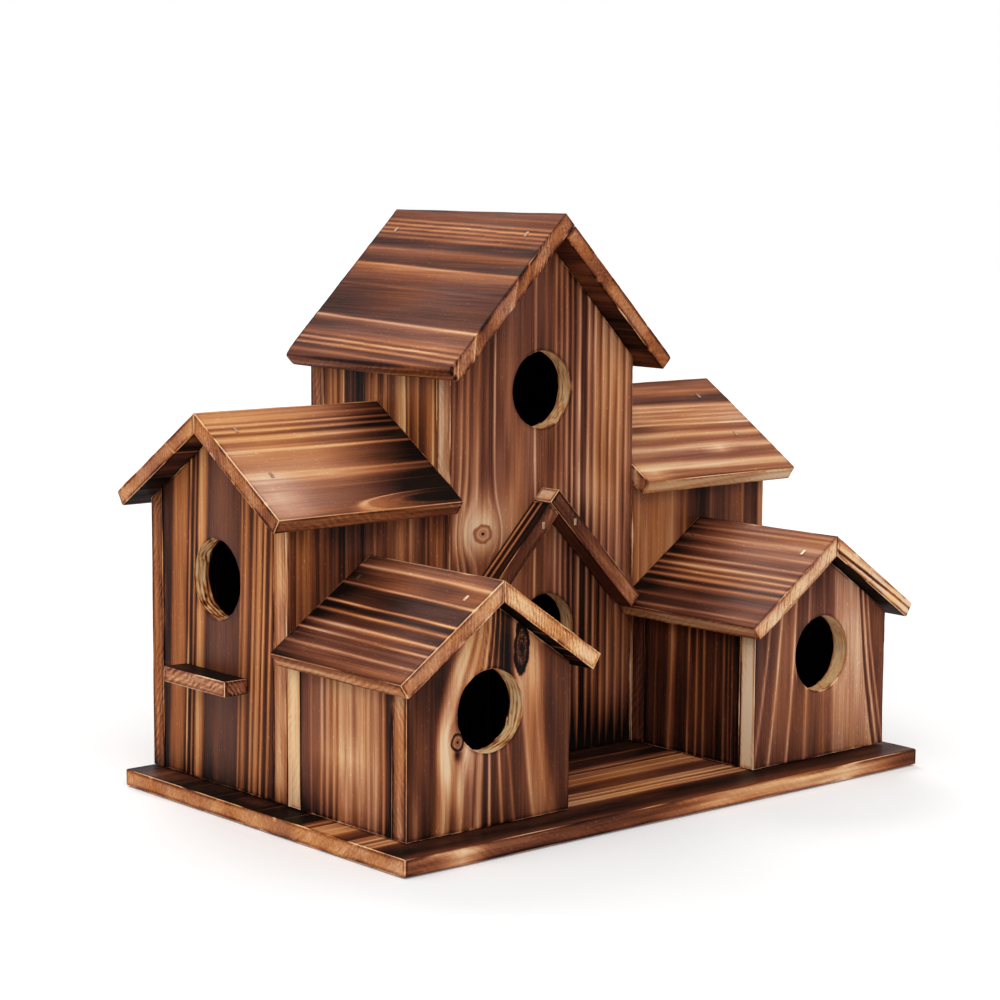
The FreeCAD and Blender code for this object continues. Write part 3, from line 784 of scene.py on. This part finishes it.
WALLS = {
    "tower_front_wall": Wood(
        bands={-33.2: 0.66, -30.6: 0.74, -29.4: 0.55, -27.8: 0.7, -26.4: 0.5, -25: 0.74, -23.6: 0.5,
               -21.2: 0.6, -17.2: 0.68, -15.2: 0.56, -12: 0.5, -8: 0.48, -5: 0.54, -2: 0.6,
               0.2: 0.62, 6: 0.64, 8.4: 0.66, 9.4: 0.52, 10.4: 0.7, 11.6: 0.5, 12.6: 0.76,
               14.8: 0.8, 16: 0.45, 18: 0.8, 19.4: 0.76, 20.4: 0.42, 22.2: 0.7, 23.2: 0.4,
               24.4: 0.44, 25.6: 0.7, 26.4: 0.42, 27.6: 0.46, 28.6: 0.7, 29.6: 0.42, 30.8: 0.5,
               31.8: 0.68, 32.8: 0.42, 34.2: 0.5, 35.2: 0.7, 36.2: 0.44, 37.4: 0.55, 39.2: 0.6},
        lines={-31.6: 0.5, -28.6: 0.36, -26.2: 0.4, -22.4: 0.34, -19: 0.5, -16.3: 0.22, -10.5: 0.42,
               -0.8: 0.24, 3.4: 0.5, 7.2: 0.34, 9.4: 0.38, 11.6: 0.34, 13.8: 0.32, 16.8: 0.22,
               20.4: 0.28, 23.2: 0.2, 26.4: 0.3, 29.4: 0.26, 32.8: 0.28, 36: 0.3},
        wave=0.7, warm=0.35, foot=0.25, burns={"low_edge": 0.24, "bore": 0.07},
        # The dark spot over the wall's foot, at (3, 18), is partly char and partly painted shade of
        # the yard between the houses
        patches=((76, -22, 9, 10, -0.48), (66, -20, 4, 12, 0.1), (136, -12, 22, 15, 0.14),
                 (118, 29, 30, 9, -0.14), (84, 20, 7, 6, -0.2), (3, 18, 15, 60, 0.42),
                 (48, 22, 20, 16, 0.14)),
        knots=((74.6, -20.5, 3.4, 0.78, 0.45),),
    ),
    "tower_back_wall": Wood(foot=0.3),
    "tower_left_wall": Wood(
        spacing=1.7, level=0.7, contrast=0.9, warm=0.9, patches=((110, 49, 60, 12, 0.07),),
    ),
    "tower_right_wall": Wood(spacing=2.9, level=0.6),
    "left_wing_gable": Wood(
        bands={3.9: 0.74, 4.6: 0.82, 5.3: 0.5, 6.6: 0.86, 7.8: 0.8, 8.6: 0.4, 9.6: 0.86, 10.3: 0.4,
               12: 0.42, 12.6: 0.8, 13.3: 0.44, 14: 0.46, 14.6: 0.82, 15.8: 0.74, 16.9: 0.5,
               18.2: 0.52, 18.9: 0.72, 20.3: 0.72, 24: 0.74, 30: 0.7, 34: 0.75, 36.2: 0.82,
               37.2: 0.55, 38.2: 0.36, 40.3: 0.25, 41: 0.4, 41.6: 0.86, 43.9: 0.88, 46: 0.84,
               46.8: 0.5, 49: 0.46, 52.4: 0.48, 53.4: 0.6, 54.2: 0.84, 57.9: 0.84},
        lines={5.6: 0.34, 8.6: 0.3, 11.2: 0.32, 13.6: 0.34, 17.6: 0.4, 19.5: 0.36, 39.6: 0.16,
               42.6: 0.4, 45: 0.12},
        at=57, drift=0.043, wave=0.3, uneven=0.3, warm=1.1, tone=-0.03, foot=0.2,
        gloss=((70, 29, 200, 8, 0.45),), torn=1.0,
    ),
    "left_wing_front_wall": Wood(
        # Its level is raised partly as painted shade under the eave, and the darker strip along its
        # top, at 80, is painted shade of the eave
        spacing=1.5, level=0.7, contrast=0.4, warm=0.75, foot=0.3, burns={"low_edge": 0.24},
        patches=((75, -51, 40, 5, -0.08), (80, -60, 3, 60, 0.1)), sawn=0.2, rings=0.5,
    ),
    "left_wing_back_wall": Wood(warm=0.8, foot=0.3, burns={"low_edge": 0.47}, sawn=0.9),
    "right_wing_gable": Wood(foot=0.3),
    "right_wing_front_wall": Wood(
        bands={39.2: 0.5, 43: 0.45, 50: 0.42, 53: 0.42, 54.4: 0.34, 57: 0.36, 58: 0.5, 60: 0.6,
               62: 0.56, 64: 0.7, 67: 0.8, 70: 0.8, 72.5: 0.68, 74.6: 0.64, 80: 0.68, 86: 0.62,
               88.5: 0.78, 93: 0.84, 94: 0.76, 94.8: 0.3, 96.9: 0.26},
        lines={42: 0.3, 50.5: 0.34, 56: 0.26, 61.6: 0.46, 73.2: 0.5, 80: 0.6, 87.3: 0.36,
               95.4: 0.24},
        wave=0.4, warm=0.65, tone=-0.01, foot=0.3,
    ),
    "right_wing_back_wall": Wood(foot=0.3),
    "left_house_front_wall": Wood(
        bands={-94: 0.78, -89.3: 0.76, -83.4: 0.77, -81.6: 0.45, -80.4: 0.3, -78: 0.28, -77.2: 0.34,
               -76.2: 0.56, -75: 0.5, -74: 0.34, -73: 0.28, -72: 0.4, -71: 0.54, -69.8: 0.44,
               -68.9: 0.44, -68.2: 0.68, -67.4: 0.38, -66: 0.3, -65.3: 0.4, -64.6: 0.82,
               -63.2: 0.82, -62.4: 0.5, -61.6: 0.78, -59.5: 0.82, -58.4: 0.55, -57.6: 0.76,
               -54: 0.74, -51: 0.72, -49.4: 0.62, -48.4: 0.38, -46.5: 0.4, -43: 0.46, -41.5: 0.52,
               -39.8: 0.7, -37: 0.77, -33: 0.75, -24: 0.7},
        lines={-79.4: 0.12, -72.6: 0.2, -66.4: 0.2, -62.4: 0.16, -58.4: 0.3, -54.6: 0.5,
               -48.3: 0.24, -43.5: 0.4},
        at=15, centre=-63.5, fan=0.9, wave=1.0, uneven=0.5, tone=-0.04, foot=0.12,
        burns={"low_edge": 0.3, "high_edge": 0.7, "bore": 0.02},
        patches=((30, -77, 8, 3, -0.16), (48, -73, 8, 2.5, -0.12), (44, -80, 9, 3, 0.16),
                 (8, -87.5, 9, 1.2, -0.3), (52, -56.5, 12, 3.5, 0.28), (47, -46, 9, 5, -0.22),
                 (26.4, -73.4, 1.5, 1.1, 0.55), (26, -69.6, 7, 2.2, -0.3), (25, -76.6, 8, 2, -0.24),
                 (17, -73, 7, 1.2, -0.2), (8, -75, 6, 3, 0.14)),
        bends=((66, -70, 17, 10, -11), (8, -82, 16, 9, -2.2)),
        knots=((29.8, -73.4, 2.1, 1.08, 1.1), (52.5, -51.2, 2.6, 2.6, 1.7)), torn=0.9,
    ),
    "left_house_back_wall": Wood(burns={"low_edge": 0.26}, sawn=0.3),
    "left_house_left_wall": Wood(
        bands={-50: 0.9, -48: 0.9, -46.5: 0.88, -45.4: 0.8, -44.4: 0.5, -43.5: 0.68, -42: 0.44,
               -40: 0.36, -39: 0.52, -38: 0.32, -37: 0.44, -35.5: 0.32, -33: 0.34, -31.6: 0.5,
               -30: 0.32, -25.2: 0.34, -24.2: 0.62, -23: 0.4, -21.6: 0.62, -20: 0.44, -18.6: 0.68,
               -17.5: 0.48, -16: 0.62, -12: 0.62, -9: 0.7},
        lines={-44.4: 0.3, -41: 0.26, -38: 0.22, -34: 0.26, -28: 0.24, -23: 0.28, -20: 0.34,
               -17.5: 0.34, -13: 0.46},
        wave=1.4, warm=0.45, tone=-0.04, foot=0.3, patches=((24, -28, 5, 13, -0.14),),
    ),
    "left_house_right_wall": Wood(level=0.75, foot=0.3),
    "right_house_front_wall": Wood(
        bands={36: 0.7, 39.6: 0.66, 40.6: 0.45, 41.6: 0.7, 45: 0.68, 45.8: 0.58, 46.6: 0.47,
               47.6: 0.54, 48.6: 0.6, 52.6: 0.58, 53.4: 0.53, 54.3: 0.44, 55.2: 0.6, 58: 0.62,
               60.6: 0.6, 61.6: 0.48, 62.8: 0.49, 64: 0.57, 66: 0.6, 70: 0.5, 73: 0.56, 75.6: 0.46,
               77: 0.28, 82: 0.27, 88.4: 0.32, 90.2: 0.3, 90.8: 0.8, 91.6: 0.76, 92.4: 0.4,
               93.2: 0.42, 93.8: 0.78, 95: 0.5, 96: 0.72, 100: 0.6},
        lines={40.6: 0.32, 46.7: 0.26, 54.3: 0.24, 61.7: 0.3, 70: 0.4, 84.5: 0.46, 90: 0.2,
               92.6: 0.24, 95.2: 0.36},
        at=12, centre=65, fan=0.75, wave=0.8, uneven=0.4, warm=0.22, foot=0.1,
        burns={"low_edge": 0.0, "high_edge": 0.35, "bore": 0.1},
        patches=((60, 67, 8, 10, 0.16), (50, 76, 6, 8, 0.1), (35, 84, 26, 6, -0.06)),
        bends=((4, 79, 24, 6, 7),), sawn=0.3, rings=0.3, torn=0.2,
    ),
    "right_house_back_wall": Wood(burns={"low_edge": 0.62}),
    "right_house_left_wall": Wood(
        # Near black, as painted shade of the yard beside the tower, with a few lines and a copper
        # band
        bands={-50: 0.92, -22: 0.9, -20.6: 0.7, -19.4: 0.56, -18.2: 0.72, -17: 0.9, -2: 0.94},
        lines={-45: 0.7, -43.6: 0.72, -41.5: 0.66, -38: 0.7, -33.2: 0.56, -30.2: 0.56, -26.8: 0.5,
               -19.4: 0.46, -13: 0.76},
        warm=0.7, tone=-0.1, foot=0.1,
    ),
    "right_house_right_wall": Wood(foot=0.3),
}

ROOFS = {
    "tower_roof_left": Wood(
        bands={0: 0.5, 2: 0.56, 4: 0.5, 5: 0.6, 6: 0.42, 6.8: 0.62, 7.6: 0.36, 8.5: 0.6, 9.2: 0.36,
               10: 0.6, 10.9: 0.36, 11.8: 0.6, 12.8: 0.46, 14: 0.68, 16: 0.68, 17: 0.52, 18.5: 0.46,
               20: 0.56, 22: 0.68, 23.6: 0.7, 24.6: 0.36, 26: 0.4, 28: 0.52, 31: 0.6, 45.6: 0.62,
               46.6: 0.36, 49: 0.58, 51: 0.56, 53: 0.42, 54.4: 0.6, 55.2: 0.34, 56.2: 0.62, 57: 0.4,
               58.4: 0.68, 60: 0.5, 62: 0.6},
        lines={2.8: 0.4, 6: 0.32, 7.7: 0.22, 9.4: 0.2, 11: 0.26, 12.8: 0.36, 18: 0.38, 24.4: 0.2,
               33: 0.5, 46.3: 0.08, 51.5: 0.42, 53.4: 0.3, 55.2: 0.14, 57.2: 0.24, 60: 0.36},
        drift=0.042, wave=0.5, uneven=0.3, warm=0.43, tone=0.08,
        burns={"high_edge": 0.57, "start": 0.5, "inside": 0.85},
        patches=((62, 45, 16, 12, 0.12), (0, 52, 14, 6, -0.1)), wear=(("high_edge", 1.1),),
        rubbed=-0.25,
    ),
    "tower_roof_right": Wood(
        warm=0.7, burns={"inside": 0.74, "start": 0.48}, wear=EAVE, rubbed=-0.2, sawn=0.3,
        rings=0.15,
    ),
    "left_wing_roof_front": Wood(
        bands={0: 0.4, 1.5: 0.32, 2.6: 0.46, 3.6: 0.32, 5: 0.36, 6: 0.6, 6.8: 0.32, 8: 0.6,
               9.4: 0.34, 10.4: 0.6, 11.2: 0.7, 12.2: 0.34, 13.4: 0.3, 14.4: 0.5, 16: 0.58,
               17.4: 0.46, 18.4: 0.3, 19.4: 0.46, 22: 0.48, 26: 0.52, 27.6: 0.45, 28.4: 0.3,
               30.6: 0.3, 31.6: 0.38, 32.8: 0.52, 38: 0.56, 47: 0.56, 49.2: 0.62, 50: 0.42, 52: 0.4,
               54: 0.62},
        lines={3.6: 0.22, 6.8: 0.14, 9.6: 0.2, 13.2: 0.14, 16.8: 0.4, 18.4: 0.08, 28.8: 0.12,
               31: 0.26, 36: 0.46, 50: 0.14, 53: 0.36},
        wave=0.5, uneven=0.35, warm=0.7, burns={"high_edge": 0.5, "start": 0.45},
        # The lighter spots at the roof's left end, (-90, 25) and (-93, 40), are painted sheen
        # around the strong shine spot there
        patches=((-32, 24, 21, 80, 0.5), (-90, 25, 16, 60, -0.08), (-45, 40, 14, 6, 0.16),
                 (-93, 40, 9, 8, -0.28), (-72, 24, 12, 9, -0.08)),
        bends=((-38, 43, 37, 4.6, 12),), gloss=((-92, 38, 12, 12, 1.8), (-70, 32, 24, 16, 0.45)),
        wear=EAVE, rubbed=0.3, sawn=0.5, rings=0.4,
    ),
    "left_wing_roof_back": Wood(
        burns={"inside": 0.82, "start": 0.38}, wear=EAVE, sawn=0.3, rings=0.3,
    ),
    "right_wing_roof_front": Wood(
        bands={0: 0.6, 2: 0.66, 4: 0.56, 6: 0.5, 7: 0.6, 8: 0.78, 10.6: 0.8, 11.6: 0.56, 12.4: 0.36,
               14.2: 0.38, 16.4: 0.4, 18.6: 0.42, 20: 0.36, 21.2: 0.38, 23: 0.54, 24.8: 0.6,
               26: 0.4, 27: 0.26, 28: 0.34, 29.2: 0.5, 31.6: 0.5, 33: 0.32, 34.2: 0.3, 35.2: 0.5,
               37: 0.58, 39: 0.62, 40.6: 0.36, 41.6: 0.3, 43: 0.32, 44.2: 0.6, 47.7: 0.62},
        lines={5.4: 0.42, 13.2: 0.14, 15.3: 0.2, 17.5: 0.2, 19.8: 0.22, 22: 0.12, 27.1: 0.06,
               33.9: 0.08, 41.5: 0.12, 46: 0.5},
        drift=-0.035, wave=0.5, uneven=0.5, warm=0.5, tone=-0.07,
        burns={"high_edge": 0.12, "start": 0.45, "end": 0.3},
        patches=((80, 35.4, 5, 2, -0.28), (44, 44.5, 6, 3, -0.3), (55, 23, 6, 2, 0.1)), wear=EAVE,
    ),
    "right_wing_roof_back": Wood(wear=EAVE),
    "left_house_roof_left": Wood(
        bands={0: 0.55, 3: 0.5, 4.4: 0.36, 5.2: 0.34, 6: 0.56, 8: 0.6, 10: 0.52, 11.6: 0.52,
               13.2: 0.7, 16: 0.72, 18.8: 0.7, 20.4: 0.74, 21.6: 0.82, 22.6: 0.5, 24.4: 0.76,
               26.2: 0.72, 27.4: 0.42, 28.6: 0.62, 29.8: 0.62, 31.6: 0.6, 34.6: 0.6, 36: 0.44,
               37.2: 0.5, 39: 0.48, 41: 0.56, 42.5: 0.7},
        lines={4.9: 0.05, 12.2: 0.18, 19.5: 0.12, 23: 0.18, 27.2: 0.12, 30.6: 0.14, 33: 0.46,
               36: 0.22, 39.5: 0.4},
        drift=0.02, wave=0.6, uneven=0.5, warm=0.45, tone=0.07,
        burns={"high_edge": 0.42, "start": 0.34},
        patches=((4, 20, 13, 60, 0.3), (-52, 8, 8, 12, -0.06)), wear=EAVE, rubbed=0.15, rings=0.5,
    ),
    "left_house_roof_right": Wood(
        warm=0.9, burns={"start": 0.2, "high_edge": 0.3}, sawn=0.9, rings=0.15,
    ),
    "right_house_roof_left": Wood(
        bands={0: 0.5, 2: 0.46, 3: 0.56, 4: 0.44, 5.5: 0.56, 7: 0.5, 8: 0.4, 9: 0.42, 10.5: 0.6,
               12.6: 0.52, 15: 0.62, 17: 0.6, 18: 0.42, 19.6: 0.68, 20.6: 0.42, 21.8: 0.34,
               22.8: 0.6, 24: 0.4, 25.4: 0.64, 26.4: 0.36, 27.2: 0.36, 28.4: 0.74, 29.6: 0.42,
               30.8: 0.42, 32: 0.68, 33.6: 0.6, 35: 0.52, 37: 0.6, 39: 0.56, 42.5: 0.56},
        lines={2.2: 0.4, 4.2: 0.34, 8.2: 0.28, 13.4: 0.32, 18: 0.26, 21.4: 0.12, 24.1: 0.2,
               26.8: 0.14, 29.9: 0.24, 35.4: 0.4, 39.8: 0.2},
        drift=-0.01, wave=0.5, uneven=0.5, warm=0.42, tone=0.03,
        burns={"high_edge": 0.3, "start": 0.17},
        patches=((2, 22, 15, 60, 0.4), (-50, 8, 20, 20, -0.07), (-28, 38, 22, 7, 0.16)), wear=EAVE,
        rubbed=-0.1, rings=0.5,
    ),
    "right_house_roof_right": Wood(
        bands={-20: 0.6, 4: 0.8, 16: 0.5, 30: 0.66, 40: 0.48, 52: 0.64, 62: 0.5, 92: 0.46, 100: 1.0,
               118: 1.05, 126: 0.42, 148: 0.5, 170: 0.8, 200: 0.6},
        slant=30, wave=12.0, burns={"start": 0.34, "inside": 0.9},
        side_patches=(("start", 37, 9, -0.42),), wear=EAVE, sawn=0.3, rings=2.2, split=0.8,
    ),
}


def perch(outer):
    """The wood of a perch block, lightest on its outer side, the given one."""
    return Wood(bands={-120: 0.95, 120: 0.95}, uneven=1.0, warm=0.4,
                burns={outer: 0.16, "start": 0.3}, sawn=1.4)


OTHERS = {
    "base_board": Wood(
        # From -18.4 on, the top is near black: painted shadow in the yard before the tower, between
        # the houses
        bands={-65: 0.6, -63: 0.74, -60: 0.86, -55: 0.86, -51.8: 0.76, -50.2: 0.42, -47.2: 0.36,
               -46.2: 0.6, -45: 0.36, -42: 0.42, -40.6: 0.7, -36: 0.76, -34: 0.62, -32.6: 0.44,
               -26: 0.4, -24.6: 0.46, -23.6: 0.8, -22: 0.56, -20: 0.62, -18.4: 0.9, -10: 0.94,
               66: 0.84},
        lines={-50: 0.26, -47.6: 0.16, -44.6: 0.14, -41.6: 0.26, -33: 0.34, -29: 0.24, -24.6: 0.26,
               -21.6: 0.4, -12: 0.7, 0: 0.7, 20: 0.7, 40: 0.7, 60: 0.7},
        wave=1.2, warm=0.7, burns={"low_edge": 0.62, "start": 0.34, "inside": 0.5},
        patches=((-97, 0, 5, 70, 0.12), (-97, -28, 4, 8, -0.3), (-96, 52, 5, 7, -0.22),
                 (-94, 10, 3, 12, -0.16)),
        side_patches=(("low_edge", -80, 6, -0.5), ("low_edge", 36, 36, -0.44),
                      ("low_edge", 80, 20, -0.12), ("start", 20, 60, -0.08)),
        wear=(("low_edge", 0.3), ("high_edge", 0.3)), sawn=0.25, rings=0.6,
    ),
    "tower_room_floor": Wood(),
    "left_wing_perch": perch("low_edge"),
    "right_wing_perch": perch("high_edge"),
    "porch_roof_left": Wood(
        bands={-10.5: 0.8, -9.4: 0.88, -7: 0.92, -6.4: 0.6, -5.8: 0.88, -4.4: 0.92, -3.8: 0.66,
               -2: 0.9},
        lines={-6.4: 0.24, -3.8: 0.3}, wave=0.2,
        burns={"low_edge": 0.62, "high_edge": 0.62, "start": 0.24, "inside": 0.8}, rings=0.2,
    ),
    "porch_roof_right": Wood(
        bands={-12: 0.6, -5: 0.72, 0: 0.66}, warm=0.35,
        burns={"low_edge": 0.6, "high_edge": 0.62, "start": 0.24, "inside": 0.66},
        side_patches=(("low_edge", 30, 6, -0.12), ("low_edge", 46, 7, -0.22)), rings=0.3,
    ),
}

GRAINS = {"base_board": X, "tower_room_floor": X, "left_wing_perch": Y, "right_wing_perch": Y}

# Each entry hole: the height of its middle, and its place across the board
HOLES = {
    "tower_front_wall": ((43.3, 4.0), (115.3, 2.0)),
    "left_wing_gable": ((64.3, 31.0),),
    "right_wing_gable": ((64.3, 31.0),),
    "left_house_front_wall": ((36.7, -62.05),),
    "right_house_front_wall": ((36.7, 68.05),),
}

FACING = {"front": -Y, "back": Y, "left": -X, "right": X}


def boards():
    """Each board with its wood. The grain runs up the walls and along the ridges of the roofs."""
    for node, wood in WALLS.items():
        words = node.split("_")
        faces = FACING[words[0] if words[-1] == "gable" else words[-2]]
        spacing = KNOTTY if wood.knots else (ROW, COLUMN)
        yield Board(node, Z, faces, HOLES.get(node, ()), *spacing), wood
    for node, wood in ROOFS.items():
        level = SPLIT_LEVEL if wood.split else LEVEL
        yield Board(node, X if "wing" in node else Y, level=level), wood
    for node, wood in OTHERS.items():
        yield Board(node, GRAINS.get(node)), wood


wood_material = charred_wood()
for board, wood in boards():
    dress(board, wood, wood_material)
wire = nail_wire()
for node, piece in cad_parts.items():
    if "brad" in node:
        piece.data.materials.clear()
        piece.data.materials.append(wire)


# Floor, background and light, in metres

FLOOR_SIZE = 6
FLOOR_GAP = 0.0002


def seen_rays(nodes):
    """1 for the rays of the camera, also mirrored or through glass, and 0 for all others."""
    path = nodes.add("LightPath").node.outputs
    mirrored = nodes.math("MAXIMUM", path["Is Camera Ray"], path["Is Glossy Ray"])
    return nodes.math("MAXIMUM", mirrored, path["Is Transmission Ray"])


def floor():
    """A white floor that keeps the shadow, and is brightened only where it is looked at."""
    material = new_material("floor")
    nodes = Nodes(material)
    nodes.shade(Base_Color=(0.9, 0.9, 0.9, 1), Roughness=0.9, Specular_IOR_Level=0.1,
                Emission_Color=(1, 1, 1, 1),
                Emission_Strength=nodes.math("MULTIPLY", seen_rays(nodes), 0.08))
    mesh = bpy.data.meshes.new("floor")
    half, top = FLOOR_SIZE / 2, -FLOOR_GAP
    corners = [(-half, -half, top), (half, -half, top), (half, half, top), (-half, half, top)]
    mesh.from_pydata(corners, [], [(0, 1, 2, 3)])
    mesh.materials.append(material)
    plane = add_object("floor", mesh)


def white_world(light):
    """White where it is looked at, and dimmer as the light on everything else."""
    world = bpy.data.worlds.new("studio")
    world.use_nodes = True
    bpy.context.scene.world = world
    nodes = Nodes(world)
    background = nodes.tree.nodes["Background"]
    nodes.set(background.inputs["Color"], (1, 1, 1, 1))
    strength = nodes.add("MapRange", {"Value": seen_rays(nodes), "To Min": light, "To Max": 1.0})
    nodes.set(background.inputs["Strength"], strength)


def sun(name, toward, strength, spread):
    """Soft light from far away: toward points at its middle, and spread is its width in degrees."""
    light = bpy.data.lights.new(name, "SUN")
    light.energy = strength
    light.angle = math.radians(spread)
    lamp = add_object(name, light)
    lamp.rotation_euler = Vector(toward).to_track_quat("Z", "Y").to_euler()


def camera(place, yaw, pitch, roll, lens):
    """place is in mm. The camera looks along yaw, from +Y towards +X, and pitch, down from
    level, in degrees."""
    data = bpy.data.cameras.new("camera")
    data.lens = lens
    data.sensor_width = 36.0
    data.clip_start = 0.01
    yaw, pitch, roll = np.radians((yaw, pitch, roll))
    ahead = np.array((math.sin(yaw) * math.cos(pitch), math.cos(yaw) * math.cos(pitch),
                      -math.sin(pitch)))
    right = np.cross(ahead, Z)
    right /= np.linalg.norm(right)
    up = np.cross(right, ahead)
    tilted_right = right * math.cos(roll) + up * math.sin(roll)
    tilted_up = up * math.cos(roll) - right * math.sin(roll)
    matrix = np.eye(4)
    matrix[:3, 0], matrix[:3, 1], matrix[:3, 2] = tilted_right, tilted_up, -ahead
    matrix[:3, 3] = np.array(place) * MM
    view = add_object("camera", data)
    view.matrix_world = Matrix(matrix.tolist())
    bpy.context.scene.camera = view


floor()
white_world(light=0.52)
sun("key", toward=(-0.35, -0.75, 0.8), strength=1.3, spread=50)
sun("side", toward=(-0.9, 0.1, 0.9), strength=0.8, spread=50)
sun("back", toward=(0.3, 0.7, 0.8), strength=0.8, spread=25)
camera(place=(-501.7, -563.3, 180.3), yaw=40.98, pitch=7.38, roll=0.38, lens=93.1)
bpy.context.scene.view_settings.view_transform = "Standard"
